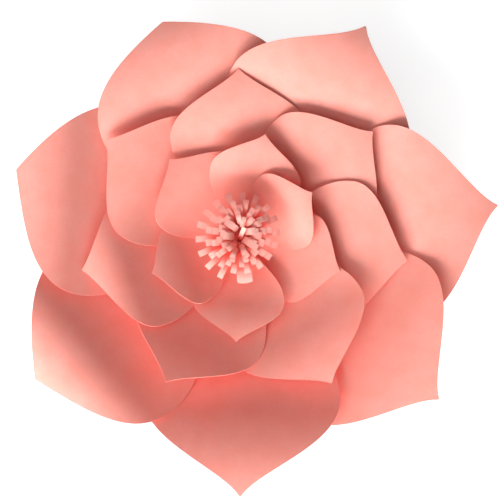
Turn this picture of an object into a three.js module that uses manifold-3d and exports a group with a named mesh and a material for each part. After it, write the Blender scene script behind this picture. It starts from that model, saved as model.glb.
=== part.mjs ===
// Layered paper flower: three rings of curled card petals on a round card backing,
// with a rolled and fringed paper strip as its heart.
//
// Millimetres, +Z up. The flower lies on its back: the origin is the centre of the backing disc's
// rear face, which goes against a wall, and the petals open towards +Z.

import * as THREE from 'three';
import { mergeVertices } from 'three/addons/utils/BufferGeometryUtils.js';
import Module from 'manifold-3d';

const wasm = await Module();
wasm.setup();

// Card and how closely it lies
const CARD_THICKNESS = 0.4;
const REST_GAP = 0.5;                  // clear height left where one sheet rests on another

// Backing disc
const DISC_RADIUS = 44;
const DISC_THICKNESS = 1.0;
const DISC_SIDES = 48;

// Outer petals
const OUTER_REACH = 150;               // flower axis to petal tip, in plan
const OUTER_HALF_WIDTH = 60;
const OUTER_BASE_RADIUS = 18;          // flower axis to the glued end
const OUTER_BASE_SLOPE = 10;           // degrees, upwards from the glued end
const OUTER_CLIMB = 21;                // degrees, where the curl begins
const OUTER_CURL_AT = 0.6;             // share of the petal's span where the curl begins
const OUTER_TIP_SLOPE = -10;           // degrees, at the curled tip
const OUTER_CUP = 12;                  // how far the edges would rise at the glued end
const OUTER_SHOULDER = 0;              // fullness of the cut towards the tip

// Middle petals, hand-glued a little off the backing's centre
const MIDDLE_X = -3.1;
const MIDDLE_Y = 8;
const MIDDLE_REACH = 101;
const MIDDLE_HALF_WIDTH = 43;
const MIDDLE_BASE_RADIUS = 12;
const MIDDLE_BASE_SLOPE = 14;
const MIDDLE_CLIMB = 22;
const MIDDLE_CURL_AT = 0.6;
const MIDDLE_TIP_SLOPE = 2;
const MIDDLE_CUP = 16;
const MIDDLE_SHOULDER = 0.05;

// Inner petals
const INNER_X = -5.3;
const INNER_Y = 6.4;
const INNER_REACH = 63.2;
const INNER_HALF_WIDTH = 28.1;
const INNER_BASE_RADIUS = 7;
const INNER_BASE_SLOPE = 19;
const INNER_CLIMB = 26;
const INNER_CURL_AT = 0.6;
const INNER_TIP_SLOPE = 4;
const INNER_CUP = 12;
const INNER_SHOULDER = 0.02;

// Where each petal was glued, in degrees anticlockwise from +X, and how it differs from its ring:
// longer and setOut are shares of the ring's reach, widen of its half width. steeper adds to the climb,
// curl to the bend at the tip, skew slants the curl's line, turn swings the petal about its tip and
// lean tips it sideways before it is laid on its neighbour, all in degrees.
const OUTER_PETALS = [
  { azimuth: 267.7, longer: -0.016, steeper: 12, curl: -8, curlAt: 0.62, turn: 2 },
  {
    azimuth: 211.2, longer: 0.016, setOut: 0.04, shoulder: 0.33,
    steeper: 9, curl: 24, curlAt: 0.69, skew: 10,
  },
  {
    azimuth: 161.2, setOut: 0.04, shoulder: 0.33,
    steeper: 10, curl: 32, curlAt: 0.71, skew: 15, lean: 8,
  },
  { azimuth: 111.0, longer: -0.023, setOut: 0.04, shoulder: 0.52, steeper: 11 },
  { azimuth: 62.6, longer: 0.006, steeper: 9 },
  { azimuth: 10.0, longer: 0.011, steeper: 7 },
  { azimuth: 321.5, longer: -0.033, steeper: 12, curl: 4 },
];
const MIDDLE_PETALS = [
  { azimuth: 191.8, steeper: 9, curl: 32, curlAt: 0.69, skew: 8 },
  { azimuth: 145.2, longer: 0.009, steeper: 11, curl: 20, curlAt: 0.62, skew: 18 },
  { azimuth: 92.1, longer: -0.003, steeper: 7 },
  { azimuth: 39.1, longer: -0.012, steeper: 4 },
  { azimuth: 351.3, longer: -0.011, steeper: 1 },
  { azimuth: 300.5, longer: 0.017, widen: 0.035, steeper: 12, curl: 4 },
  { azimuth: 241.7, longer: -0.013, steeper: 8, curl: -16, curlAt: 0.72 },
];
const INNER_PETALS = [
  { azimuth: 132.3, longer: 0.028, widen: 0.125, steeper: 2 },
  { azimuth: 77.0, longer: 0.021, steeper: 8 },
  { azimuth: 32.9, longer: -0.193, widen: -0.089, steeper: 18 },
  { azimuth: 341.7, longer: 0.006 },
  { azimuth: 267.2, longer: -0.005, steeper: 1 },
  { azimuth: 201.3, longer: -0.078, steeper: 6 },
];
const LAST_INNER_PETAL = 2;            // glued last, so it lies on both of its neighbours

// Petal pattern: shares of the petal's length and half width, from the glued end to the tip
const CUT_BASE = 0.24;                 // width of the glued end
const CUT_BASE_HANDLE = [0.21, 0.48];
const CUT_WIDEST_AT = 0.556;
const CUT_WIDEST_HANDLE_IN = 0.22;
const CUT_WIDEST_HANDLE_OUT = 0.2;
const CUT_TIP_HANDLE = [0.87, 0.19];
const CUT_SMALL_FULLER = 0.15;         // the smaller petals are fuller at the base
const CUT_TIP = 0.008;
const PETAL_ROWS = 12;
const PETAL_COLUMNS = 6;
const SQUARE_CORNERS = 6;              // corners of the two triangles that make up a square

// Fringe: a paper strip cut into a comb, rolled up and curled outwards
const FRINGE_X = -5.8;
const FRINGE_Y = 8.4;
const FRINGE_PAPER = 0.3;
const ROLL_WALL = 0.5;                 // the rolled paper with its film of glue
const ROLL_INNER_RADIUS = 3.2;
const ROLL_PITCH = 1.45;               // growth of the loose roll's radius in one turn
const ROLL_BAND = 4;                   // uncut height
const ROLL_FLATTEN = 0.25;             // the hollow is pressed narrow, as a share
const ROLL_FLATTEN_AZIMUTH = 74;       // long axis of the hollow, degrees
const STRIP_COUNT = 73;
const STRIP_LENGTH = 27.5;
const STRIP_WIDTH = 3.7;
const STRIP_SLIT = 0.3;
const STRIP_ROWS = 4;
const STRIP_ROOT = 1;                  // how deep a strip runs down into the band
const END_TAB_WIDTH = 9.4;             // uncut outer end of the strip
const END_TAB_AZIMUTH = 276;
const END_TAB_FOLDS = 3;
const CURL = 125;                      // degrees that a strip has bent over at its tip
const CURL_UNEVEN = 10;
const CURL_LATE_INNER = 6;             // inner strips stand up and curl late: power of the length
const CURL_LATE_OUTER = 1.4;           // outer strips bend over evenly from their root
const CURL_STEPS = 24;                 // short straight steps that a strip's curve is summed from
const WANDER_FAST = 2.4;               // how the unevenness comes and goes from strip to strip
const WANDER_SLOW = 0.7;
const TAIL_CURL = -45;                 // the innermost strip folds in over the hollow

const CORAL = 0xf08c7a;
const PALE_CORAL = 0xf6a392;
const PAPER_ROUGHNESS = 0.9;

// Laying the petals on one another
const RESTING = CARD_THICKNESS + REST_GAP;     // height between the middles of two resting sheets
const SETTLE_PASSES = 240;
const SINK_PASSES = 3;
const CONTACT_ROWS = 40;
const CONTACT_COLUMNS = 12;
const ON_EDGE = 1e-6;                          // points this close beside a sheet count as on it
const EVEN_SLOPE = 1e-6;                       // slopes this close count as one

const { degToRad: radians, lerp, euclideanModulo } = THREE.MathUtils;

// One petal: a cut sheet that climbs from its glued end, curls over towards its tip, is cupped at its
// base and leans to one side
class Petal {
  constructor(ring, place) {
    const { longer = 0, widen = 0, setOut = 0, turn = 0 } = place;
    const { steeper = 0, curl = 0, skew = 0, lean = 0 } = place;
    this.azimuth = radians(place.azimuth);
    this.turn = radians(turn);
    this.centre = ring.centre;
    this.base = ring.baseRadius + setOut * ring.reach;
    this.reach = ring.reach * (1 + longer);
    this.halfWidth = ring.halfWidth * (1 + widen);
    this.cup = ring.cup;
    this.curlAt = place.curlAt ?? ring.curlAt;
    this.baseSlope = radians(ring.baseSlope);
    this.climb = radians(ring.climb + steeper);
    this.tipSlope = radians(ring.tipSlope - curl);
    this.skew = Math.tan(radians(skew));
    this.roll = Math.tan(radians(lean));       // height gained for each millimetre to the left
    this.lift = 0;
    [this.stem, this.blade] = cutLine(ring.fuller, place.shoulder ?? ring.shoulder);

    this.rows = [];
    for (let i = 0; i <= CONTACT_ROWS; i++) {
      this.rows.push(this.row(i / CONTACT_ROWS));
    }
  }

  get span() {
    return this.reach - this.base;
  }

  // Slope, as an angle, at a share of the span: the climb first, and the curl beyond its line
  climbAt(out) {
    return lerp(this.baseSlope, this.climb, Math.min(out / this.curlAt, 1));
  }

  curlAngleAt(past) {
    return lerp(this.climb, this.tipSlope, past / (1 - this.curlAt));
  }

  // How far past the curl's line a place is, as a share of the span; the line crosses the midrib askew
  pastCurl(out, y) {
    return Math.max(out + this.skew * y / this.span - this.curlAt, 0);
  }

  // Place along the midrib and half width there, for p from 0 at the glued end to 1 at the tip
  row(p) {
    const cut = p < 0.5 ? this.stem.getPoint(2 * p) : this.blade.getPoint(2 * p - 1);
    const out = Math.min(cut.x, 1);
    return { out, half: cut.y * this.halfWidth, x: this.base + out * this.span };
  }

  // Height of the sheet above its glued end, before it is rolled, at a distance y to the left
  heightOf(out, y) {
    const climbing = Math.min(out, this.curlAt);
    const past = this.pastCurl(out, y);
    const climbed = risen(climbing, this.baseSlope, this.climbAt(climbing))
      + (out - climbing) * Math.tan(this.climb);
    const fallen = past * Math.tan(this.climb) - risen(past, this.climb, this.curlAngleAt(past));
    return this.span * (climbed - fallen) + this.cup * (1 - out) ** 2 * (y / this.halfWidth) ** 2;
  }

  // A point of the sheet in the flower's frame, a distance off its middle along its normal
  point(p, v, off) {
    const { out, half, x } = this.row(p);
    const y = v * half;
    const share = y / this.halfWidth;
    const past = this.pastCurl(out, y);
    const fall = past > 0 ? Math.tan(this.climb) - Math.tan(this.curlAngleAt(past)) : 0;
    const cupOut = 2 * this.cup * (1 - out) * share ** 2 / this.span;
    const cupLeft = 2 * this.cup * (1 - out) ** 2 * share / this.halfWidth;
    const slopeOut = Math.tan(this.climbAt(out)) - fall - cupOut;
    const slopeLeft = this.roll + cupLeft - this.skew * fall;
    const normal = new THREE.Vector3(-slopeOut, -slopeLeft, 1).normalize();
    const height = this.lift + this.roll * y + this.heightOf(out, y);
    return this.toFlower(new THREE.Vector3(x, y, height).addScaledVector(normal, off));
  }

  // The petal's own frame has x out along the midrib; turn swings the petal about its tip
  toFlower(local) {
    const fromTip = new THREE.Vector2(local.x - this.reach, local.y);
    fromTip.rotateAround(new THREE.Vector2(), this.turn);
    const plan = new THREE.Vector2(fromTip.x + this.reach, fromTip.y);
    plan.rotateAround(new THREE.Vector2(), this.azimuth);
    return new THREE.Vector3(plan.x + this.centre[0], plan.y + this.centre[1], local.z);
  }

  toLocal(x, y) {
    const plan = new THREE.Vector2(x - this.centre[0], y - this.centre[1]);
    plan.rotateAround(new THREE.Vector2(), -this.azimuth);
    const fromTip = new THREE.Vector2(plan.x - this.reach, plan.y);
    fromTip.rotateAround(new THREE.Vector2(), -this.turn);
    return { x: fromTip.x + this.reach, y: fromTip.y };
  }

  // Distance left of the midrib and unrolled height over a plan point, or null beside the petal
  under(x, y) {
    const at = this.toLocal(x, y);
    if (at.x < this.base - ON_EDGE || at.x > this.reach) return null;
    const next = Math.max(this.rows.findIndex((row) => row.x >= at.x), 1);
    const before = this.rows[next - 1];
    const after = this.rows[next];
    const share = (at.x - before.x) / (after.x - before.x);
    const mix = (name) => lerp(before[name], after[name], share);
    if (Math.abs(at.y) > mix('half') + ON_EDGE) return null;
    return { left: at.y, height: this.heightOf(mix('out'), at.y) };
  }

  heightAt(x, y) {
    const here = this.under(x, y);
    return here && here.height + this.roll * here.left + this.lift;
  }

  // Plan points spread over the petal
  spread() {
    const points = [];
    for (const row of this.rows) {
      for (let j = 0; j <= CONTACT_COLUMNS; j++) {
        const y = (2 * j / CONTACT_COLUMNS - 1) * row.half;
        points.push(this.toFlower(new THREE.Vector3(row.x, y, 0)));
      }
    }
    return points;
  }

  geometry() {
    const sheet = new THREE.BoxGeometry(1, 2, CARD_THICKNESS, PETAL_ROWS, PETAL_COLUMNS, 1);
    matchDiagonals(sheet);
    return bend(sheet, (corner) => this.point(corner.x + 0.5, corner.y, corner.z));
  }
}

// Rise over a level distance along which the slope changes evenly from one angle to another
function risen(distance, from, to) {
  if (Math.abs(to - from) < EVEN_SLOPE) return distance * Math.tan(from);
  return distance * Math.log(Math.cos(from) / Math.cos(to)) / (to - from);
}

// The pattern's edge as two curves that meet at the widest place
function cutLine(fuller, shoulder) {
  const start = new THREE.Vector2(0, CUT_BASE);
  const baseHandle = new THREE.Vector2(CUT_BASE_HANDLE[0], CUT_BASE_HANDLE[1] + fuller);
  const widest = new THREE.Vector2(CUT_WIDEST_AT, 1);
  const handleIn = new THREE.Vector2(CUT_WIDEST_AT - CUT_WIDEST_HANDLE_IN, 1);
  const handleOut = new THREE.Vector2(CUT_WIDEST_AT + CUT_WIDEST_HANDLE_OUT, 1);
  const tipHandle = new THREE.Vector2(CUT_TIP_HANDLE[0], CUT_TIP_HANDLE[1] + shoulder);
  const tip = new THREE.Vector2(1, CUT_TIP);
  return [
    new THREE.CubicBezierCurve(start, baseHandle, handleIn, widest),
    new THREE.CubicBezierCurve(widest, handleOut, tipHandle, tip),
  ];
}

// Split the back's squares between the same corners as the front's, so that a twisted sheet keeps its
// thickness
function matchDiagonals(box) {
  const { start, count } = box.groups.at(-1);
  const corners = box.index.array;
  for (let i = start; i < start + count; i += SQUARE_CORNERS) {
    const [a, b, d, , c] = corners.slice(i, i + SQUARE_CORNERS);
    corners.set([a, b, c, a, c, d], i);
  }
}

// Move every corner of a closed box to its place on the bent sheet
function bend(geometry, place) {
  geometry.deleteAttribute('normal');
  geometry.deleteAttribute('uv');
  const merged = mergeVertices(geometry);
  const position = merged.getAttribute('position');
  const corner = new THREE.Vector3();
  for (let i = 0; i < position.count; i++) {
    const moved = place(corner.fromBufferAttribute(position, i));
    position.setXYZ(i, moved.x, moved.y, moved.z);
  }
  merged.computeVertexNormals();
  return merged;
}

// Every plan point where one petal lies over another, with the height between the unrolled sheets
function contacts(upper, lower) {
  const meeting = [];
  for (const point of [...upper.spread(), ...lower.spread()]) {
    const above = upper.under(point.x, point.y);
    const below = lower.under(point.x, point.y);
    if (above && below) {
      meeting.push({ apart: above.height - below.height, up: above.left, down: below.left });
    }
  }
  return meeting;
}

function tightest(pair) {
  let best = null;
  for (const { apart, up, down } of pair.meeting) {
    const gap = apart + pair.upper.roll * up - pair.lower.roll * down;
    if (!best || gap < best.gap) best = { gap, up, down };
  }
  return best;
}

// Roll the petals of a ring until none cuts into the one that it lies over
function settle(pairs) {
  for (let pass = 0; pass < SETTLE_PASSES; pass++) {
    for (const pair of pairs) {
      const at = tightest(pair);
      if (!at || at.gap > RESTING) continue;
      const share = (RESTING - at.gap) / (at.up ** 2 + at.down ** 2);
      pair.upper.roll += share * at.up;
      pair.lower.roll -= share * at.down;
    }
  }
}

const pairOf = (upper, lower) => ({ upper, lower, meeting: contacts(upper, lower) });

// Raise or lower sheets together until their tightest meeting place rests on what lies below
function liftOnto(sheets, below) {
  let lift = -Infinity;
  for (const upper of sheets) {
    for (const lower of below) {
      const meet = lower.spread ? [...upper.spread(), ...lower.spread()] : upper.spread();
      for (const point of meet) {
        const top = upper.heightAt(point.x, point.y);
        const bottom = lower.heightAt(point.x, point.y);
        if (top === null || bottom === null) continue;
        lift = Math.max(lift, bottom + RESTING - top);
      }
    }
  }
  for (const sheet of sheets) sheet.lift += lift;
}

// The backing as something to rest on, taken at half a card below its face like any other sheet
const backing = {
  heightAt: (x, y) => (Math.hypot(x, y) > DISC_RADIUS ? null : DISC_THICKNESS - CARD_THICKNESS / 2),
};

const outerRing = {
  centre: [0, 0],
  reach: OUTER_REACH,
  halfWidth: OUTER_HALF_WIDTH,
  baseRadius: OUTER_BASE_RADIUS,
  baseSlope: OUTER_BASE_SLOPE,
  climb: OUTER_CLIMB,
  curlAt: OUTER_CURL_AT,
  tipSlope: OUTER_TIP_SLOPE,
  cup: OUTER_CUP,
  fuller: 0,
  shoulder: OUTER_SHOULDER,
};
const middleRing = {
  centre: [MIDDLE_X, MIDDLE_Y],
  reach: MIDDLE_REACH,
  halfWidth: MIDDLE_HALF_WIDTH,
  baseRadius: MIDDLE_BASE_RADIUS,
  baseSlope: MIDDLE_BASE_SLOPE,
  climb: MIDDLE_CLIMB,
  curlAt: MIDDLE_CURL_AT,
  tipSlope: MIDDLE_TIP_SLOPE,
  cup: MIDDLE_CUP,
  fuller: CUT_SMALL_FULLER,
  shoulder: MIDDLE_SHOULDER,
};
const innerRing = {
  centre: [INNER_X, INNER_Y],
  reach: INNER_REACH,
  halfWidth: INNER_HALF_WIDTH,
  baseRadius: INNER_BASE_RADIUS,
  baseSlope: INNER_BASE_SLOPE,
  climb: INNER_CLIMB,
  curlAt: INNER_CURL_AT,
  tipSlope: INNER_TIP_SLOPE,
  cup: INNER_CUP,
  fuller: CUT_SMALL_FULLER,
  shoulder: INNER_SHOULDER,
};

const outer = OUTER_PETALS.map((place) => new Petal(outerRing, place));
const middle = MIDDLE_PETALS.map((place) => new Petal(middleRing, place));
const inner = INNER_PETALS.map((place) => new Petal(innerRing, place));

// Pinwheel order: each petal's left side lies over the next petal anticlockwise of it
function anticlockwiseOf(petals, petal) {
  const turned = (other) => euclideanModulo(other.azimuth - petal.azimuth, 2 * Math.PI);
  const others = petals.filter((other) => other !== petal);
  return others.reduce((best, other) => (turned(other) < turned(best) ? other : best));
}

// Lay a ring's petals on what lies below them, then let each one sink as far as it goes on its own
function layDown(ring, below) {
  settle(ring.map((petal) => pairOf(petal, anticlockwiseOf(ring, petal))));
  liftOnto(ring, below);
  for (let pass = 0; pass < SINK_PASSES; pass++) {
    for (const petal of ring) {
      liftOnto([petal], [...below, anticlockwiseOf(ring, petal)]);
    }
  }
}

const lastInner = inner[LAST_INNER_PETAL];
const earlierInner = inner.filter((petal) => petal !== lastInner);
layDown(outer, [backing]);
layDown(middle, [backing, ...outer]);
layDown(earlierInner, [...outer, ...middle]);
liftOnto([lastInner], [...middle, ...earlierInner]);

// The rolled strip's middle line in plan, by distance along the strip from its inner end
const stripPitch = STRIP_WIDTH + STRIP_SLIT;
const rolledLength = STRIP_COUNT * stripPitch + END_TAB_WIDTH;

function rollAngle(along) {
  const growth = ROLL_PITCH / (2 * Math.PI);
  return (Math.sqrt(ROLL_INNER_RADIUS ** 2 + 2 * growth * along) - ROLL_INNER_RADIUS) / growth;
}

const rollStart = radians(END_TAB_AZIMUTH) - rollAngle(rolledLength - END_TAB_WIDTH / 2);

function rollPoint(along) {
  const angle = rollAngle(along);
  const radius = ROLL_INNER_RADIUS + ROLL_PITCH * angle / (2 * Math.PI);
  const flatten = ROLL_FLATTEN * (1 - along / rolledLength);
  const longAxis = radians(ROLL_FLATTEN_AZIMUTH);
  const plan = new THREE.Vector2(radius, 0);
  plan.rotateAround(new THREE.Vector2(), rollStart + angle - longAxis);
  plan.set(plan.x * (1 + flatten), plan.y * (1 - flatten));
  return plan.rotateAround(new THREE.Vector2(), longAxis);
}

// The band turns a corner at every slit, and END_TAB_FOLDS times across the end tab
const bandCorners = [];
for (let k = 0; k < STRIP_COUNT; k++) {
  bandCorners.push(rollPoint(k * stripPitch));
}
for (let k = 0; k <= END_TAB_FOLDS; k++) {
  bandCorners.push(rollPoint(STRIP_COUNT * stripPitch + k * END_TAB_WIDTH / END_TAB_FOLDS));
}

// Each strip stands on one side of the band, less half a slit at either end; the tab on the last few
const strips = [];
for (let k = 0; k < STRIP_COUNT; k++) {
  const wander = CURL_UNEVEN * Math.sin(WANDER_FAST * k) * Math.cos(WANDER_SLOW * k);
  const late = lerp(CURL_LATE_INNER, CURL_LATE_OUTER, k / STRIP_COUNT);
  const slit = STRIP_SLIT / 2 / stripPitch;
  const [from, to] = [bandCorners[k], bandCorners[k + 1]];
  const feet = [from.clone().lerp(to, slit), from.clone().lerp(to, 1 - slit)];
  strips.push({ feet, curl: radians(CURL + wander), late });
}
Object.assign(strips[0], { curl: radians(TAIL_CURL), late: CURL_LATE_OUTER });
strips.push({ feet: bandCorners.slice(STRIP_COUNT), curl: radians(CURL), late: CURL_LATE_OUTER });

// How far out and up the middle of a strip has gone at a length up it, and how far it has bent
function stripPath({ curl, late }, up) {
  const bent = (length) => curl * (length / STRIP_LENGTH) ** late;
  const path = { out: 0, high: 0, angle: bent(up) };
  const step = up / CURL_STEPS;
  for (let i = 0; i < CURL_STEPS; i++) {
    path.out += step * Math.sin(bent((i + 0.5) * step));
    path.high += step * Math.cos(bent((i + 0.5) * step));
  }
  return path;
}

// A strip rises from its feet on the roll and bends outwards
function stripPoint(strip, off, foot, up) {
  const sideways = strip.feet.at(-1).clone().sub(strip.feet[0]);
  const outwards = new THREE.Vector2(sideways.y, -sideways.x).normalize();
  const { out, high, angle } = up > 0 ? stripPath(strip, up) : { out: 0, high: up, angle: 0 };
  const plan = strip.feet[foot].clone().addScaledVector(outwards, out + off * Math.cos(angle));
  return new THREE.Vector3(plan.x, plan.y, ROLL_BAND + high - off * Math.sin(angle));
}

function stripGeometry(strip) {
  const rows = STRIP_ROWS + 1;
  const columns = strip.feet.length - 1;
  const sheet = new THREE.BoxGeometry(FRINGE_PAPER, columns, rows, 1, columns, rows);
  return bend(sheet, ({ x, y, z }) => {
    const step = Math.round(z + rows / 2);
    const up = step === 0 ? -STRIP_ROOT : STRIP_LENGTH * Math.sqrt((step - 1) / STRIP_ROWS);
    return stripPoint(strip, x, Math.round(y + columns / 2), up);
  });
}

function bandGeometry() {
  const sides = bandCorners.length - 1;
  const sheet = new THREE.BoxGeometry(ROLL_WALL, sides, ROLL_BAND, 1, sides, 1);
  return bend(sheet, ({ x, y, z }) => {
    const index = Math.round(y + sides / 2);
    const before = bandCorners[Math.max(index - 1, 0)];
    const after = bandCorners[Math.min(index + 1, sides)];
    const outwards = new THREE.Vector2(after.y - before.y, before.x - after.x).normalize();
    const plan = bandCorners[index].clone().addScaledVector(outwards, x);
    return new THREE.Vector3(plan.x, plan.y, z + ROLL_BAND / 2);
  });
}

function solidOf(geometry) {
  const vertProperties = Float32Array.from(geometry.getAttribute('position').array);
  const triVerts = Uint32Array.from(geometry.index.array);
  return new wasm.Manifold(new wasm.Mesh({ numProp: 3, vertProperties, triVerts }));
}

function geometryOf(solid) {
  const mesh = solid.getMesh();
  const geometry = new THREE.BufferGeometry();
  geometry.setAttribute('position', new THREE.BufferAttribute(mesh.vertProperties, 3));
  geometry.setIndex(new THREE.BufferAttribute(mesh.triVerts, 1));
  geometry.computeVertexNormals();
  return geometry;
}

function fringeGeometry() {
  let roll = solidOf(bandGeometry());
  for (const strip of strips) {
    roll = roll.add(solidOf(stripGeometry(strip)));
  }
  return geometryOf(roll);
}

// The roll is set down on the inner petals until its band or a curled strip rests on one of them
function fringeHeight(geometry) {
  const position = geometry.getAttribute('position');
  const corner = new THREE.Vector3();
  let height = -Infinity;
  for (let i = 0; i < position.count; i++) {
    corner.fromBufferAttribute(position, i);
    for (const petal of inner) {
      const top = petal.heightAt(corner.x + FRINGE_X, corner.y + FRINGE_Y);
      if (top !== null) height = Math.max(height, top + RESTING - corner.z);
    }
  }
  return height;
}

const flower = new THREE.Group();

function addPiece(name, geometry, colour) {
  const paper = { color: colour, roughness: PAPER_ROUGHNESS, metalness: 0 };
  const mesh = new THREE.Mesh(geometry, new THREE.MeshStandardMaterial(paper));
  mesh.name = name;
  flower.add(mesh);
  return mesh;
}

const disc = new THREE.CylinderGeometry(DISC_RADIUS, DISC_RADIUS, DISC_THICKNESS, DISC_SIDES);
disc.rotateX(Math.PI / 2);
addPiece('backing_disc', disc, CORAL).position.z = DISC_THICKNESS / 2;

outer.forEach((petal, i) => addPiece(`outer_petal_${i + 1}`, petal.geometry(), CORAL));
middle.forEach((petal, i) => addPiece(`middle_petal_${i + 1}`, petal.geometry(), CORAL));
inner.forEach((petal, i) => addPiece(`inner_petal_${i + 1}`, petal.geometry(), CORAL));

const fringe = fringeGeometry();
addPiece('fringe_center', fringe, PALE_CORAL).position.set(FRINGE_X, FRINGE_Y, fringeHeight(fringe));

export default flower;
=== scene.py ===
"""Layered paper flower: three rings of curled card petals round a fringed paper roll.

The file is laid out as an add-on with a panel in the 3D view's sidebar, and is run as a script.
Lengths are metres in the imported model's frame: the flower lies on its back and opens towards +Z.
"""

import math

import bmesh
import bpy
from bpy.props import FloatProperty, FloatVectorProperty, IntProperty, PointerProperty
from mathutils import Matrix, Vector


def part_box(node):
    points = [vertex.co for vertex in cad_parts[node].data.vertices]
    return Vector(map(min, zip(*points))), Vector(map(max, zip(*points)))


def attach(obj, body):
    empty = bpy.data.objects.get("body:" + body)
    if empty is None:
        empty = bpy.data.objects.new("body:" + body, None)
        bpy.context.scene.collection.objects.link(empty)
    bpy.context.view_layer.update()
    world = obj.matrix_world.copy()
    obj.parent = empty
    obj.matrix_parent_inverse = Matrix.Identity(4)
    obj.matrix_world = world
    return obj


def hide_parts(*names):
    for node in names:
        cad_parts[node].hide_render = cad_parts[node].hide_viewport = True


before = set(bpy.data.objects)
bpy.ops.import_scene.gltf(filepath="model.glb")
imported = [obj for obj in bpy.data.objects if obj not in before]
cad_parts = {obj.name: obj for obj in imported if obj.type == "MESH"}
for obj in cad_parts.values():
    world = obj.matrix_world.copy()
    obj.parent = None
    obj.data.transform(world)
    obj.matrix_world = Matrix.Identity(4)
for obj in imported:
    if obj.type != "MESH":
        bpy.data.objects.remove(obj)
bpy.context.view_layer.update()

bl_info = {
    "name": "Layered Paper Flower",
    "version": (1, 0, 0),
    "blender": (4, 5, 0),
    "location": "3D View > Sidebar > Paper Flower",
    "description": "Builds a layered card flower with a fringed centre on its packed model",
    "category": "Object",
}

MM = 0.001

# Where each petal was glued, in degrees anticlockwise from +X, and how it differs from its ring:
# longer and set_out are shares of the ring's reach, widen of its half width. steeper adds to the climb,
# curl to the bend at the tip, skew slants the curl's line and turn swings the petal about its tip, all
# in degrees.
OUTER_PETALS = (
    {"azimuth": 267.7, "longer": -0.016, "steeper": 12, "curl": -8, "curl_at": 0.62, "turn": 2},
    {
        "azimuth": 211.2, "longer": 0.016, "set_out": 0.04, "shoulder": 0.33,
        "steeper": 9, "curl": 24, "curl_at": 0.69, "skew": 10,
    },
    {
        "azimuth": 161.2, "set_out": 0.04, "shoulder": 0.33,
        "steeper": 10, "curl": 32, "curl_at": 0.71, "skew": 15,
    },
    {"azimuth": 111.0, "longer": -0.023, "set_out": 0.04, "shoulder": 0.52, "steeper": 11},
    {"azimuth": 62.6, "longer": 0.006, "steeper": 9},
    {"azimuth": 10.0, "longer": 0.011, "steeper": 7},
    {"azimuth": 321.5, "longer": -0.033, "steeper": 12, "curl": 4},
)
MIDDLE_PETALS = (
    {"azimuth": 191.8, "steeper": 9, "curl": 32, "curl_at": 0.69, "skew": 8},
    {"azimuth": 145.2, "longer": 0.009, "steeper": 11, "curl": 20, "curl_at": 0.62, "skew": 18},
    {"azimuth": 92.1, "longer": -0.003, "steeper": 7},
    {"azimuth": 39.1, "longer": -0.012, "steeper": 4},
    {"azimuth": 351.3, "longer": -0.011, "steeper": 1},
    {"azimuth": 300.5, "longer": 0.017, "widen": 0.035, "steeper": 12, "curl": 4},
    {"azimuth": 241.7, "longer": -0.013, "steeper": 8, "curl": -16, "curl_at": 0.72},
)
INNER_PETALS = (
    {"azimuth": 132.3, "longer": 0.028, "widen": 0.125, "steeper": 2},
    {"azimuth": 77.0, "longer": 0.021, "steeper": 8},
    {"azimuth": 32.9, "longer": -0.193, "widen": -0.089, "steeper": 18},
    {"azimuth": 341.7, "longer": 0.006},
    {"azimuth": 267.2, "longer": -0.005, "steeper": 1},
    {"azimuth": 201.3, "longer": -0.078, "steeper": 6},
)

# Petal pattern: shares of the petal's length and half width, from the glued end to the tip
CUT_BASE = 0.24
CUT_BASE_HANDLE = (0.21, 0.48)
CUT_WIDEST_AT = 0.556
CUT_WIDEST_HANDLE_IN = 0.22
CUT_WIDEST_HANDLE_OUT = 0.2
CUT_TIP_HANDLE = (0.87, 0.19)
CUT_TIP = 0.008
EVEN_SLOPE = 1e-6  # slopes this close count as one
PETAL_ROWS = 44
PETAL_COLUMNS = 24
SHARP_ANGLE = math.radians(50)

# How the CAD petal's glued end is found: its last millimetre, and the corners at either side
GLUED_END = 1 * MM
END_CORNER = 0.5 * MM

# Fringe: how finely the strips and the band are divided, and how the curl wanders from strip to strip
STRIP_ROWS = 14
STRIP_COLUMNS = 2
STRIP_ROOT = 1 * MM
CURL_STEPS = 4
TAB_FOLDS = 6
BAND_STEPS_PER_STRIP = 2
BAND_SMALL_STEP = 0.5 * MM
WANDER_FAST = 2.4
WANDER_SLOW = 0.7

# Uncoated paper: hardly any gloss, a faint tooth, and noise for its clouds of dye and clumps of fibre
PAPER_ROUGHNESS = 0.88
PAPER_GLOSS = 0.25
TOOTH_DEPTH = 0.08 * MM
TOOTH_STRENGTH = 0.25
CLOUD_DETAIL = 2.0
CLOUD_ROUGHNESS = 0.5
FIBRE_DETAIL = 4.0
FIBRE_ROUGHNESS = 0.65
FIBRE_TWIST = 0.6
SPECKLE_DARKEST = 0.12  # product of the two noises where the fibre colour is full
SPECKLE_PALEST = 0.4  # and where the face colour is

# Light goes further into dyed paper in its own colour: depths of red, green and blue
GLOW_REACH = (1.0, 0.12, 0.1)

# A Mix node has sockets of one name for every kind of data, so its colours are picked by number
MIX_FIRST_COLOUR = 6
MIX_SECOND_COLOUR = 7
MIX_COLOUR_RESULT = 2

WHITE = (1, 1, 1, 1)
FLOOR_RADIUS = 4.0
FLOOR_SINK = 0.2 * MM
FLOOR_SIDES = 96
LIGHT_BOUNCES = 12  # among the curled sheets; it deepens the red in their shadows


def linear(hex_colour):
    """An sRGB hex value as linear red, green and blue."""
    shares = [int(hex_colour[i:i + 2], 16) / 255 for i in (0, 2, 4)]
    return tuple(s / 12.92 if s <= 0.04045 else ((s + 0.055) / 1.055) ** 2.4 for s in shares)


def length(name, description, millimetres):
    """A length setting, given in millimetres and kept in metres."""
    return FloatProperty(
        name=name, description=description, default=millimetres * MM, unit="LENGTH", precision=4
    )


def angle(name, description, degrees):
    """An angle setting, given in degrees and kept in radians."""
    return FloatProperty(
        name=name, description=description, default=math.radians(degrees), subtype="ANGLE"
    )


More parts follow.
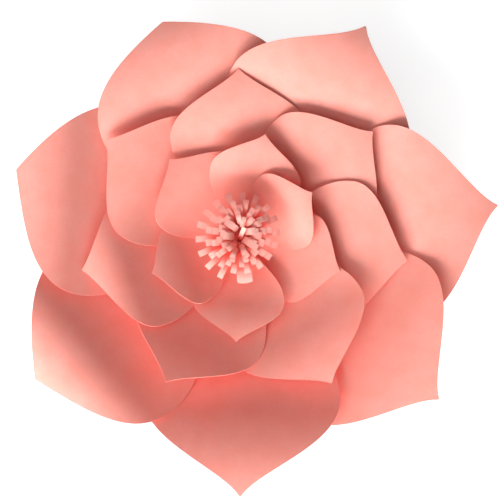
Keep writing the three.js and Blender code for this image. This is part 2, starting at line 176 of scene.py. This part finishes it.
def share(name, description, default):
    """A setting between none and all."""
    return FloatProperty(
        name=name, description=description, default=default, min=0.0, max=1.0, subtype="FACTOR"
    )


def colour(name, description, hex_colour):
    """A colour setting, given as an sRGB hex value."""
    return FloatVectorProperty(
        name=name, description=description, default=linear(hex_colour), size=3,
        min=0.0, max=1.0, subtype="COLOR",
    )


def place_in_plan(name, description, x, y):
    """A place on the floor, given in millimetres and kept in metres."""
    return FloatVectorProperty(
        name=name, description=description, default=(x * MM, y * MM), size=2, unit="LENGTH"
    )


class CardSettings(bpy.types.PropertyGroup):
    thickness: length("Card Thickness", "Thickness of the petals' card", 0.4)
    coral: colour("Card Colour", "Colour of the card's faces", "F9A196")
    deep_coral: colour("Fibre Colour", "Colour of the darker fibres in the card", "F5988A")
    # The cut edge's colour is a painted highlight: paler than the face, as an edge that catches the light
    # looks
    painted_edge_highlight: colour("Painted Edge Highlight Colour", "Paler colour painted on the cut edge as a highlight", "FBC0B2")
    # The fringe is painted a little paler than the card, which stands in for the light on its upturned
    # tips
    fringe_coral_painted_paler: colour("Fringe Colour", "Colour of the fringe's thinner paper, painted paler for the light on its tips", "F9A79B")
    fibre: length("Fibre Size", "Width of the clumps of fibre that show", 1.1)
    cloud: length("Cloud Size", "Width of the slow changes of colour in the card", 14)
    glow: share("Card Glow", "Share of the light that goes through the card", 0.4)
    fringe_glow: share("Fringe Glow", "Share of the light that goes through the fringe paper", 0.4)
    glow_depth: length("Glow Depth", "How far red light goes inside the paper", 1.5)


class OuterRingSettings(bpy.types.PropertyGroup):
    reach: length("Reach", "Flower axis to petal tip, in plan", 150)
    half_width: length("Half Width", "Midrib to edge at the widest place", 60)
    base_radius: length("Base Radius", "Flower axis to the glued end", 18)
    base_slope: angle("Base Slope", "Upward slope of the midrib at the glued end", 10)
    climb: angle("Climb", "Upward slope of the midrib where the curl begins", 21)
    curl_at: share("Curl Start", "Where the curl begins, as a share of the petal", 0.6)
    tip_slope: angle("Tip Slope", "Upward slope of the midrib at the tip", -10)
    cup: length("Cup", "How far the edges would rise at the glued end", 12)
    fuller: share("Fuller", "Extra width near the base, as a share", 0.0)
    shoulder: share("Shoulder", "Extra width near the tip, as a share", 0.0)
    centre: place_in_plan("Centre", "Where the ring's axis is", 0, 0)


class MiddleRingSettings(bpy.types.PropertyGroup):
    reach: length("Reach", "Ring axis to petal tip, in plan", 101)
    half_width: length("Half Width", "Midrib to edge at the widest place", 43)
    base_radius: length("Base Radius", "Ring axis to the glued end", 12)
    base_slope: angle("Base Slope", "Upward slope of the midrib at the glued end", 14)
    climb: angle("Climb", "Upward slope of the midrib where the curl begins", 22)
    curl_at: share("Curl Start", "Where the curl begins, as a share of the petal", 0.6)
    tip_slope: angle("Tip Slope", "Upward slope of the midrib at the tip", 2)
    cup: length("Cup", "How far the edges would rise at the glued end", 16)
    fuller: share("Fuller", "Extra width near the base, as a share", 0.15)
    shoulder: share("Shoulder", "Extra width near the tip, as a share", 0.05)
    centre: place_in_plan("Centre", "Where the ring's axis is", -3.1, 8.0)


class InnerRingSettings(bpy.types.PropertyGroup):
    reach: length("Reach", "Ring axis to petal tip, in plan", 63.2)
    half_width: length("Half Width", "Midrib to edge at the widest place", 28.1)
    base_radius: length("Base Radius", "Ring axis to the glued end", 7)
    base_slope: angle("Base Slope", "Upward slope of the midrib at the glued end", 19)
    climb: angle("Climb", "Upward slope of the midrib where the curl begins", 26)
    curl_at: share("Curl Start", "Where the curl begins, as a share of the petal", 0.6)
    tip_slope: angle("Tip Slope", "Upward slope of the midrib at the tip", 4)
    cup: length("Cup", "How far the edges would rise at the glued end", 12)
    fuller: share("Fuller", "Extra width near the base, as a share", 0.15)
    shoulder: share("Shoulder", "Extra width near the tip, as a share", 0.02)
    centre: place_in_plan("Centre", "Where the ring's axis is", -5.3, 6.4)


class FringeSettings(bpy.types.PropertyGroup):
    paper: length("Paper Thickness", "Thickness of a cut strip", 0.3)
    wall: length("Roll Wall", "Thickness of the rolled paper with its glue", 0.5)
    inner_radius: length("Inner Radius", "Radius of the roll's hollow", 3.2)
    pitch: length("Roll Pitch", "Growth of the roll's radius in one turn", 1.45)
    band: length("Band Height", "Height that isn't cut into strips", 4)
    flatten: share("Flatten", "How far the hollow is pressed narrow", 0.25)
    flatten_azimuth: angle("Flatten Azimuth", "Direction of the hollow's long axis", 74)
    strip_count: IntProperty(name="Strips", description="Number of strips", default=73, min=3)
    strip_length: length("Strip Length", "Length of a strip above the band", 27.5)
    strip_width: length("Strip Width", "Width of a strip", 3.7)
    slit: length("Slit", "Width lost between two strips", 0.3)
    tab_width: length("Tab Width", "Width of the uncut outer end", 9.4)
    tab_azimuth: angle("Tab Azimuth", "Where the outer end lies", 276)
    curl: angle("Curl", "How far a strip has bent over at its tip", 125)
    curl_uneven: angle("Uneven Curl", "How much the curl differs from strip to strip", 10)
    late_inner: FloatProperty(
        name="Inner Lateness", description="Power of the height by which inner strips curl", default=6.0
    )
    late_outer: FloatProperty(
        name="Outer Lateness", description="Power of the height by which outer strips curl", default=1.4
    )
    tail_curl: angle("Tail Curl", "Bend of the innermost strip, over the hollow", -45)
    centre: place_in_plan("Centre", "Where the roll's axis is", -5.8, 8.4)


class StudioSettings(bpy.types.PropertyGroup):
    camera_height: length("Camera Height", "Camera above the floor", 850)
    camera_place: place_in_plan("Camera Place", "Point that the camera is above", 0.0, -0.6)
    lens: FloatProperty(name="Lens", description="Focal length, millimetres", default=96.7)
    softbox_distance: length("Softbox Distance", "Flower to either softbox", 2200)
    softbox_size: length("Softbox Size", "Side of the square softboxes", 2200)
    key_power: FloatProperty(name="Key Power", description="Key softbox power, watts", default=200.0)
    key_azimuth: angle("Key Azimuth", "Direction that the key light comes from", 250)
    key_elevation: angle("Key Elevation", "Height of the key light above the floor", 14)
    side_power: FloatProperty(name="Side Power", description="Side softbox power, watts", default=18.0)
    side_azimuth: angle("Side Azimuth", "Direction that the side light comes from", 190)
    side_elevation: angle("Side Elevation", "Height of the side light above the floor", 62)
    ambient: FloatProperty(name="Ambient", description="Brightness of the white room", default=0.12)
    floor_colour: colour("Floor Colour", "Colour of the paper sweep under the lights", "B8B8B8")
    floor_glow: share("Floor Glow", "White that the camera sees on the floor beside its lit colour", 0.8)


class PaperFlowerSettings(bpy.types.PropertyGroup):
    card: PointerProperty(type=CardSettings)
    outer: PointerProperty(type=OuterRingSettings)
    middle: PointerProperty(type=MiddleRingSettings)
    inner: PointerProperty(type=InnerRingSettings)
    fringe: PointerProperty(type=FringeSettings)
    studio: PointerProperty(type=StudioSettings)


def add_node(tree, kind, settings=None, inputs=None):
    """Add a node; an input that is a socket is linked, and any other is the socket's value."""
    node = tree.nodes.new(kind)
    for name, value in (settings or {}).items():
        setattr(node, name, value)
    for name, value in (inputs or {}).items():
        if isinstance(value, bpy.types.NodeSocket):
            tree.links.new(value, node.inputs[name])
        else:
            node.inputs[name].default_value = value
    return node


def new_material(name):
    """A material with an empty node tree and its output node."""
    material = bpy.data.materials.new(name)
    material.use_nodes = True
    material.node_tree.nodes.clear()
    return material, add_node(material.node_tree, "ShaderNodeOutputMaterial")


def paper_material(name, face, fibre_colour, glow, card):
    """Uncoated dyed paper: matt, with soft clouds and a faint tooth, red where light comes through."""
    material, output = new_material(name)
    tree = material.node_tree
    place = add_node(tree, "ShaderNodeTexCoord").outputs["Object"]
    clouds = add_node(tree, "ShaderNodeTexNoise", inputs={
        "Vector": place, "Scale": 1 / card.cloud, "Detail": CLOUD_DETAIL, "Roughness": CLOUD_ROUGHNESS,
    })
    # Fibres are a few hundredths of a millimetre wide. They are drawn as far coarser clumps, so they show.
    fibres = add_node(tree, "ShaderNodeTexNoise", inputs={
        "Vector": place, "Scale": 1 / card.fibre, "Detail": FIBRE_DETAIL, "Roughness": FIBRE_ROUGHNESS,
        "Distortion": FIBRE_TWIST,
    })
    speckle = add_node(tree, "ShaderNodeMath", {"operation": "MULTIPLY"})
    tree.links.new(clouds.outputs["Fac"], speckle.inputs[0])
    tree.links.new(fibres.outputs["Fac"], speckle.inputs[1])
    spread = add_node(tree, "ShaderNodeMapRange", inputs={
        "Value": speckle.outputs["Value"], "From Min": SPECKLE_DARKEST, "From Max": SPECKLE_PALEST,
    })
    tint = add_node(tree, "ShaderNodeMix", {"data_type": "RGBA"})
    tree.links.new(spread.outputs["Result"], tint.inputs["Factor"])
    tint.inputs[MIX_FIRST_COLOUR].default_value = (*fibre_colour, 1)
    tint.inputs[MIX_SECOND_COLOUR].default_value = (*face, 1)
    tooth = add_node(tree, "ShaderNodeBump", inputs={
        "Strength": TOOTH_STRENGTH, "Distance": TOOTH_DEPTH, "Height": fibres.outputs["Fac"],
    })
    paper = add_node(tree, "ShaderNodeBsdfPrincipled", inputs={
        "Base Color": tint.outputs[MIX_COLOUR_RESULT],
        "Roughness": PAPER_ROUGHNESS, "Specular IOR Level": PAPER_GLOSS,
        "Subsurface Weight": glow, "Subsurface Radius": GLOW_REACH, "Subsurface Scale": card.glow_depth,
        "Normal": tooth.outputs["Normal"],
    })
    tree.links.new(paper.outputs["BSDF"], output.inputs["Surface"])


def finish_materials(card):
    """The flower's papers by name, made once."""
    if "coral card, uncoated" not in bpy.data.materials:
        # Dyed through and left uncoated: matt, evenly pink, and redder where light shines through
        paper_material("coral card, uncoated", card.coral, card.deep_coral, card.glow, card)
        # Cut with scissors; the edge is painted paler than the face, a painted highlight that draws a pale
        # line round a petal where its edge catches the light
        paper_material("coral card, cut edge with painted highlight", card.painted_edge_highlight, card.coral, card.glow, card)
        # Thinner than the card and as matt; it is painted a little paler, a painted lightening that stands
        # in for the light on the strips' upturned tips
        paper_material("coral fringe paper, painted paler", card.fringe_coral_painted_paler, card.coral, card.fringe_glow, card)
    papers = bpy.data.materials
    return papers["coral card, uncoated"], papers["coral card, cut edge with painted highlight"], papers["coral fringe paper, painted paler"]


def on_curve(points, t):
    """A point of a cubic curve between its ends, led by its two handles."""
    start, first, second, end = points
    s = 1 - t
    return start * s ** 3 + first * (3 * s * s * t) + second * (3 * s * t * t) + end * t ** 3


def risen(distance, first, last):
    """Rise over a level distance along which the slope changes evenly between two angles."""
    if abs(last - first) < EVEN_SLOPE:
        return distance * math.tan(first)
    return distance * math.log(math.cos(first) / math.cos(last)) / (last - first)


class Petal:
    """A cut sheet that climbs from its glued end, curls over to its tip, and leans as its CAD petal."""

    def __init__(self, ring, place, node):
        self.azimuth = math.radians(place["azimuth"])
        self.turn = math.radians(place.get("turn", 0))
        self.centre = Vector(ring.centre)
        self.base = ring.base_radius + place.get("set_out", 0) * ring.reach
        self.reach = ring.reach * (1 + place.get("longer", 0))
        self.span = self.reach - self.base
        self.half_width = ring.half_width * (1 + place.get("widen", 0))
        self.cup = ring.cup
        self.curl_at = place.get("curl_at", ring.curl_at)
        self.base_slope = ring.base_slope
        self.climb = ring.climb + math.radians(place.get("steeper", 0))
        self.tip_slope = ring.tip_slope - math.radians(place.get("curl", 0))
        self.skew = math.tan(math.radians(place.get("skew", 0)))

        widest = Vector((CUT_WIDEST_AT, 1))
        base_handle = Vector((CUT_BASE_HANDLE[0], CUT_BASE_HANDLE[1] + ring.fuller))
        tip_width = CUT_TIP_HANDLE[1] + place.get("shoulder", ring.shoulder)
        self.stem = (
            Vector((0, CUT_BASE)), base_handle, widest - Vector((CUT_WIDEST_HANDLE_IN, 0)), widest
        )
        self.blade = (
            widest,
            widest + Vector((CUT_WIDEST_HANDLE_OUT, 0)),
            Vector((CUT_TIP_HANDLE[0], tip_width)),
            Vector((1, CUT_TIP)),
        )
        self.lift, self.lean = self.as_glued(node)

    def climb_at(self, out):
        """Upward slope along the midrib, as an angle, before the curl."""
        return self.base_slope + (self.climb - self.base_slope) * min(out / self.curl_at, 1)

    def curl_angle_at(self, past):
        """Upward slope, as an angle, at a distance past the curl's line."""
        return self.climb + (self.tip_slope - self.climb) * past / (1 - self.curl_at)

    def past_curl(self, out, y):
        """Share of the span past the curl's line, which crosses the midrib askew."""
        return max(out + self.skew * y / self.span - self.curl_at, 0)

    def height_of(self, out, y):
        """Height of the sheet above its glued end, before it leans, at a distance y to the left."""
        climbing = min(out, self.curl_at)
        past = self.past_curl(out, y)
        climbed = risen(climbing, self.base_slope, self.climb_at(climbing))
        climbed += (out - climbing) * math.tan(self.climb)
        fallen = past * math.tan(self.climb) - risen(past, self.climb, self.curl_angle_at(past))
        return self.span * (climbed - fallen) + self.cup * (1 - out) ** 2 * (y / self.half_width) ** 2

    def as_glued(self, node):
        """Height and sideways lean of the CAD petal's glued end."""
        ends = [self.to_local(vert.co) for vert in node.data.vertices]
        ends = [end for end in ends if end.x < self.base + GLUED_END]
        widest = max(abs(end.y) for end in ends) - END_CORNER
        left = [end for end in ends if end.y > widest]
        right = [end for end in ends if end.y < -widest]
        left_end = sum(left, Vector((0, 0, 0))) / len(left)
        right_end = sum(right, Vector((0, 0, 0))) / len(right)
        lean = (left_end.z - right_end.z) / (left_end.y - right_end.y)
        edge_rise = self.cup * CUT_BASE ** 2
        return (left_end.z + right_end.z) / 2 - edge_rise, lean

    def to_local(self, point):
        """A point of the flower in the petal's own frame, with x out along the midrib."""
        plan = Matrix.Rotation(-self.azimuth, 2) @ (point.xy - self.centre)
        tip = Vector((self.reach, 0))
        plan = Matrix.Rotation(-self.turn, 2) @ (plan - tip) + tip
        return Vector((plan.x, plan.y, point.z))

    def to_flower(self, point):
        """A point of the petal's own frame in the flower."""
        tip = Vector((self.reach, 0))
        plan = Matrix.Rotation(self.turn, 2) @ (point.xy - tip) + tip
        plan = Matrix.Rotation(self.azimuth, 2) @ plan + self.centre
        return Vector((plan.x, plan.y, point.z))

    def spot(self, p, v, off):
        """Where the flat sheet's place (p out, v across) goes, off its middle along its normal."""
        cut = on_curve(self.stem, 2 * p) if p < 0.5 else on_curve(self.blade, 2 * p - 1)
        out = min(cut.x, 1)
        y = v * cut.y * self.half_width
        across = y / self.half_width
        past = self.past_curl(out, y)
        fall = math.tan(self.climb) - math.tan(self.curl_angle_at(past)) if past > 0 else 0
        cup_out = 2 * self.cup * (1 - out) * across ** 2 / self.span
        cup_left = 2 * self.cup * (1 - out) ** 2 * across / self.half_width
        slope_out = math.tan(self.climb_at(out)) - fall - cup_out
        slope_left = self.lean + cup_left - self.skew * fall
        normal = Vector((-slope_out, -slope_left, 1)).normalized()
        height = self.lift + self.lean * y + self.height_of(out, y)
        return self.to_flower(Vector((self.base + out * self.span, y, height)) + normal * off)


def add_sheet(bm, rows, columns, thickness, spot):
    """Add a closed sheet to bm: a flat grid given a second face and a cut edge, then bent by spot."""
    starts = len(bm.verts), len(bm.edges), len(bm.faces)
    bmesh.ops.create_grid(bm, x_segments=rows, y_segments=columns, size=0.5)
    for made in (bm.verts, bm.edges, bm.faces):
        made.ensure_lookup_table()
    back, edges, faces = (
        made[start:] for made, start in zip((bm.verts, bm.edges, bm.faces), starts, strict=True)
    )
    grown = bmesh.ops.extrude_face_region(bm, geom=back + edges + faces, use_keep_orig=True)["geom"]
    front = [part for part in grown if isinstance(part, bmesh.types.BMVert)]
    front_faces = {part for part in grown if isinstance(part, bmesh.types.BMFace)}
    bm.faces.ensure_lookup_table()
    for face in bm.faces[starts[2] + len(faces):]:
        # Slot 1 is the cut edge, which carries the painted edge highlight
        face.material_index = 0 if face in front_faces else 1
    for verts, side in ((back, -0.5), (front, 0.5)):
        for vert in verts:
            vert.co = spot(vert.co.x + 0.5, 2 * vert.co.y, side * thickness)


def sort_faces(bm):
    """Order the faces by their corners, because an extrude adds a sheet's cut edge in no fixed order."""
    bm.verts.index_update()
    count = len(bm.verts)

    def lowest_and_highest(face):
        corners = [vert.index for vert in face.verts]
        return min(corners) * count + max(corners)

    bm.faces.sort(key=lowest_and_highest)


def add_piece(context, name, bm, materials, replaced):
    """Make a finished mesh one piece of the flower, in place of a CAD node."""
    sort_faces(bm)
    bmesh.ops.recalc_face_normals(bm, faces=bm.faces)
    for face in bm.faces:
        face.smooth = True
    for edge in bm.edges:
        edge.smooth = edge.calc_face_angle(0) < SHARP_ANGLE
    mesh = bpy.data.meshes.new(name)
    bm.to_mesh(mesh)
    bm.free()
    for material in materials:
        mesh.materials.append(material)
    piece = bpy.data.objects.new(name, mesh)
    context.scene.collection.objects.link(piece)
    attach(piece, "root")
    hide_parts(replaced)


def add_ring(context, name, ring, places):
    """Make every petal of a ring."""
    card = context.scene.paper_flower.card
    face, painted_edge_highlight, _ = finish_materials(card)
    for number, place in enumerate(places, start=1):
        node = f"{name}_petal_{number}"
        petal = Petal(ring, place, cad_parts[node])
        bm = bmesh.new()
        add_sheet(bm, PETAL_ROWS, PETAL_COLUMNS, card.thickness, petal.spot)
        add_piece(context, f"petal_{name}_{number}", bm, (face, painted_edge_highlight), node)


class PAPER_FLOWER_OT_backing_disc(bpy.types.Operator):
    """Give the round backing its card"""

    bl_idname = "paper_flower.backing_disc"
    bl_label = "Backing Disc"

    def execute(self, context):
        face, _, _ = finish_materials(context.scene.paper_flower.card)
        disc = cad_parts["backing_disc"]
        for material_slot in disc.material_slots:
            material_slot.material = face
        return {"FINISHED"}


class PAPER_FLOWER_OT_outer_petals(bpy.types.Operator):
    """Make the seven large petals"""

    bl_idname = "paper_flower.outer_petals"
    bl_label = "Outer Petals"

    def execute(self, context):
        add_ring(context, "outer", context.scene.paper_flower.outer, OUTER_PETALS)
        return {"FINISHED"}


class PAPER_FLOWER_OT_middle_petals(bpy.types.Operator):
    """Make the seven medium petals"""

    bl_idname = "paper_flower.middle_petals"
    bl_label = "Middle Petals"

    def execute(self, context):
        add_ring(context, "middle", context.scene.paper_flower.middle, MIDDLE_PETALS)
        return {"FINISHED"}


class PAPER_FLOWER_OT_inner_petals(bpy.types.Operator):
    """Make the six small petals"""

    bl_idname = "paper_flower.inner_petals"
    bl_label = "Inner Petals"

    def execute(self, context):
        add_ring(context, "inner", context.scene.paper_flower.inner, INNER_PETALS)
        return {"FINISHED"}


class Roll:
    """The rolled comb: a spiral band, and strips that stand on it and bend over."""

    def __init__(self, fringe, floor):
        self.fringe = fringe
        self.floor = floor
        self.strip_pitch = fringe.strip_width + fringe.slit
        self.length = fringe.strip_count * self.strip_pitch + fringe.tab_width
        self.start = fringe.tab_azimuth - self.turned(self.length - fringe.tab_width / 2)

    def turned(self, along):
        """Angle that the spiral has turned after a length of strip."""
        growth = self.fringe.pitch / math.tau
        radius = self.fringe.inner_radius
        return (math.sqrt(radius ** 2 + 2 * growth * along) - radius) / growth

    def spot(self, along):
        """Plan place on the spiral, pressed narrow near the hollow."""
        turned = self.turned(along)
        radius = self.fringe.inner_radius + self.fringe.pitch * turned / math.tau
        flatten = self.fringe.flatten * (1 - along / self.length)
        plan = Matrix.Rotation(self.start + turned - self.fringe.flatten_azimuth, 2) @ Vector((radius, 0))
        plan = Vector((plan.x * (1 + flatten), plan.y * (1 - flatten)))
        return Matrix.Rotation(self.fringe.flatten_azimuth, 2) @ plan

    def in_flower(self, plan, height):
        """A place of the roll, by plan and height above its foot, in the flower."""
        return Vector((*(plan + Vector(self.fringe.centre)), self.floor + height))

    def band_spot(self, p, v, off):
        """The place function of the uncut band, along the spiral and up it."""
        along = p * self.length
        after = self.spot(min(along + BAND_SMALL_STEP, self.length))
        ahead = after - self.spot(max(along - BAND_SMALL_STEP, 0))
        outwards = Vector((ahead.y, -ahead.x)).normalized()
        return self.in_flower(self.spot(along) + outwards * off, (v + 1) / 2 * self.fringe.band)

    def strip_path(self, curl, late):
        """Places along a strip's middle: how far out and up it has gone, and how far it has bent."""
        step = self.fringe.strip_length / STRIP_ROWS
        out = high = bent = 0.0
        path = [(out, high, bent)]
        for i in range(STRIP_ROWS):
            for k in range(CURL_STEPS):
                bent = curl * ((i + (k + 0.5) / CURL_STEPS) / STRIP_ROWS) ** late
                out += step / CURL_STEPS * math.sin(bent)
                high += step / CURL_STEPS * math.cos(bent)
            path.append((out, high, curl * ((i + 1) / STRIP_ROWS) ** late))
        return path

    def strip_spot(self, feet, curl, late):
        """The place function of a strip from one foot to the other, rooted in the band."""
        sideways = feet[-1] - feet[0]
        outwards = Vector((sideways.y, -sideways.x)).normalized()
        path = [(0.0, -STRIP_ROOT, 0.0), *self.strip_path(curl, late)]

        def spot(p, v, off):
            out, high, bent = path[round(p * (len(path) - 1))]
            place = (v + 1) / 2 * (len(feet) - 1)
            foot = min(int(place), len(feet) - 2)
            plan = feet[foot].lerp(feet[foot + 1], place - foot)
            plan += outwards * (out + off * math.cos(bent))
            return self.in_flower(plan, self.fringe.band + high - off * math.sin(bent))

        return spot


class PAPER_FLOWER_OT_fringe(bpy.types.Operator):
    """Make the rolled and fringed centre"""

    bl_idname = "paper_flower.fringe"
    bl_label = "Fringe Centre"

    def execute(self, context):
        settings = context.scene.paper_flower
        fringe = settings.fringe
        _, painted_edge_highlight, paper = finish_materials(settings.card)
        roll = Roll(fringe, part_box("fringe_center")[0].z)
        bm = bmesh.new()
        band_steps = (fringe.strip_count + 2) * BAND_STEPS_PER_STRIP
        add_sheet(bm, band_steps, 1, fringe.wall, roll.band_spot)
        for k in range(fringe.strip_count):
            wander = fringe.curl_uneven * math.sin(WANDER_FAST * k) * math.cos(WANDER_SLOW * k)
            late = fringe.late_inner + (fringe.late_outer - fringe.late_inner) * k / fringe.strip_count
            bend = (fringe.curl + wander, late) if k else (fringe.tail_curl, fringe.late_outer)
            start = k * roll.strip_pitch + fringe.slit / 2
            feet = roll.spot(start), roll.spot(start + fringe.strip_width)
            add_sheet(bm, STRIP_ROWS + 1, STRIP_COLUMNS, fringe.paper, roll.strip_spot(feet, *bend))
        tab_start = fringe.strip_count * roll.strip_pitch
        feet = [roll.spot(tab_start + i / TAB_FOLDS * fringe.tab_width) for i in range(TAB_FOLDS + 1)]
        spot = roll.strip_spot(feet, fringe.curl, fringe.late_outer)
        add_sheet(bm, STRIP_ROWS + 1, TAB_FOLDS, fringe.paper, spot)
        add_piece(context, "fringe_roll", bm, (paper, painted_edge_highlight), "fringe_center")
        return {"FINISHED"}


class PAPER_FLOWER_OT_stage(bpy.types.Operator):
    """Set up the floor, the lights and the camera"""

    bl_idname = "paper_flower.stage"
    bl_label = "Studio"

    def execute(self, context):
        studio = context.scene.paper_flower.studio
        self.add_floor(context, studio)
        self.light_room(context, studio)
        key = self.add_softbox(context, "key_softbox", studio.key_azimuth, studio.key_elevation)
        key.energy = studio.key_power
        side = self.add_softbox(context, "side_softbox", studio.side_azimuth, studio.side_elevation)
        side.energy = studio.side_power
        self.add_camera(context, studio)
        context.scene.view_settings.view_transform = "Standard"
        context.scene.cycles.diffuse_bounces = LIGHT_BOUNCES
        return {"FINISHED"}

    def seen_directly(self, tree):
        """1 where the camera, a gloss or something clear looks at the surface, and 0 for its light."""
        path = add_node(tree, "ShaderNodeLightPath")
        either = add_node(tree, "ShaderNodeMath", {"operation": "MAXIMUM"})
        tree.links.new(path.outputs["Is Camera Ray"], either.inputs[0])
        tree.links.new(path.outputs["Is Glossy Ray"], either.inputs[1])
        any_of = add_node(tree, "ShaderNodeMath", {"operation": "MAXIMUM"})
        tree.links.new(either.outputs["Value"], any_of.inputs[0])
        tree.links.new(path.outputs["Is Transmission Ray"], any_of.inputs[1])
        return any_of.outputs["Value"]

    def add_floor(self, context, studio):
        """A round floor just below the flower, which keeps its shadow."""
        bm = bmesh.new()
        bmesh.ops.create_circle(bm, cap_ends=True, radius=FLOOR_RADIUS, segments=FLOOR_SIDES)
        bmesh.ops.translate(bm, verts=bm.verts, vec=(0, 0, -FLOOR_SINK))
        mesh = bpy.data.meshes.new("studio_floor")
        bm.to_mesh(mesh)
        bm.free()
        floor = bpy.data.objects.new("studio_floor", mesh)
        context.scene.collection.objects.link(floor)

        # White paper sweep: the camera sees it as bright as the page, and greyer in the flower's shadow
        material, output = new_material("matt white paper sweep")
        tree = material.node_tree
        sweep = add_node(tree, "ShaderNodeBsdfDiffuse", inputs={"Color": (*studio.floor_colour, 1)})
        glow = add_node(tree, "ShaderNodeMath", {"operation": "MULTIPLY"})
        tree.links.new(self.seen_directly(tree), glow.inputs[0])
        glow.inputs[1].default_value = studio.floor_glow
        page = add_node(tree, "ShaderNodeEmission", inputs={"Strength": glow.outputs["Value"]})
        both = add_node(tree, "ShaderNodeAddShader")
        tree.links.new(sweep.outputs["BSDF"], both.inputs[0])
        tree.links.new(page.outputs["Emission"], both.inputs[1])
        tree.links.new(both.outputs["Shader"], output.inputs["Surface"])
        mesh.materials.append(material)

    def light_room(self, context, studio):
        """A dim white room that the camera sees as a white page."""
        world = bpy.data.worlds.new("white room")
        world.use_nodes = True
        tree = world.node_tree
        tree.nodes.clear()
        room = add_node(tree, "ShaderNodeBackground", inputs={"Color": WHITE, "Strength": studio.ambient})
        page = add_node(tree, "ShaderNodeBackground", inputs={"Color": WHITE, "Strength": 1.0})
        both = add_node(tree, "ShaderNodeMixShader", inputs={"Fac": self.seen_directly(tree)})
        tree.links.new(room.outputs["Background"], both.inputs[1])
        tree.links.new(page.outputs["Background"], both.inputs[2])
        output = add_node(tree, "ShaderNodeOutputWorld")
        tree.links.new(both.outputs["Shader"], output.inputs["Surface"])
        context.scene.world = world

    def add_softbox(self, context, name, azimuth, elevation):
        """A square softbox that faces the flower from a direction; gives back its light."""
        studio = context.scene.paper_flower.studio
        light = bpy.data.lights.new(name, "AREA")
        light.size = studio.softbox_size
        softbox = bpy.data.objects.new(name, light)
        towards = Vector((
            math.cos(azimuth) * math.cos(elevation),
            math.sin(azimuth) * math.cos(elevation),
            math.sin(elevation),
        ))
        softbox.location = towards * studio.softbox_distance
        softbox.rotation_euler = towards.to_track_quat("Z", "Y").to_euler()
        context.scene.collection.objects.link(softbox)
        return light

    def add_camera(self, context, studio):
        """A camera that looks straight down into the flower."""
        data = bpy.data.cameras.new("camera")
        data.lens = studio.lens
        camera = bpy.data.objects.new("camera", data)
        camera.location = (*studio.camera_place, studio.camera_height)
        context.scene.collection.objects.link(camera)
        context.scene.camera = camera


class PAPER_FLOWER_PT_panel(bpy.types.Panel):
    """The flower's pieces and sizes in the 3D view's sidebar"""

    bl_idname = "PAPER_FLOWER_PT_panel"
    bl_label = "Layered Paper Flower"
    bl_space_type = "VIEW_3D"
    bl_region_type = "UI"
    bl_category = "Paper Flower"

    def draw(self, context):
        settings = context.scene.paper_flower
        rings = settings.outer, settings.middle, settings.inner
        for operator in OPERATORS:
            self.layout.operator(operator.bl_idname)
        for group in (settings.card, *rings, settings.fringe, settings.studio):
            box = self.layout.box()
            for name in group.bl_rna.properties.keys():
                if name not in ("rna_type", "name"):
                    box.prop(group, name)


SETTINGS = (
    CardSettings,
    OuterRingSettings,
    MiddleRingSettings,
    InnerRingSettings,
    FringeSettings,
    StudioSettings,
    PaperFlowerSettings,
)
OPERATORS = (
    PAPER_FLOWER_OT_backing_disc,
    PAPER_FLOWER_OT_outer_petals,
    PAPER_FLOWER_OT_middle_petals,
    PAPER_FLOWER_OT_inner_petals,
    PAPER_FLOWER_OT_fringe,
    PAPER_FLOWER_OT_stage,
)


def register():
    for cls in (*SETTINGS, *OPERATORS, PAPER_FLOWER_PT_panel):
        bpy.utils.register_class(cls)
    bpy.types.Scene.paper_flower = PointerProperty(type=PaperFlowerSettings)


def unregister():
    del bpy.types.Scene.paper_flower
    for cls in reversed((*SETTINGS, *OPERATORS, PAPER_FLOWER_PT_panel)):
        bpy.utils.unregister_class(cls)


def main():
    register()
    bpy.ops.paper_flower.backing_disc()
    bpy.ops.paper_flower.outer_petals()
    bpy.ops.paper_flower.middle_petals()
    bpy.ops.paper_flower.inner_petals()
    bpy.ops.paper_flower.fringe()
    bpy.ops.paper_flower.stage()
    bpy.context.view_layer.update()


if __name__ == "__main__":
    main()
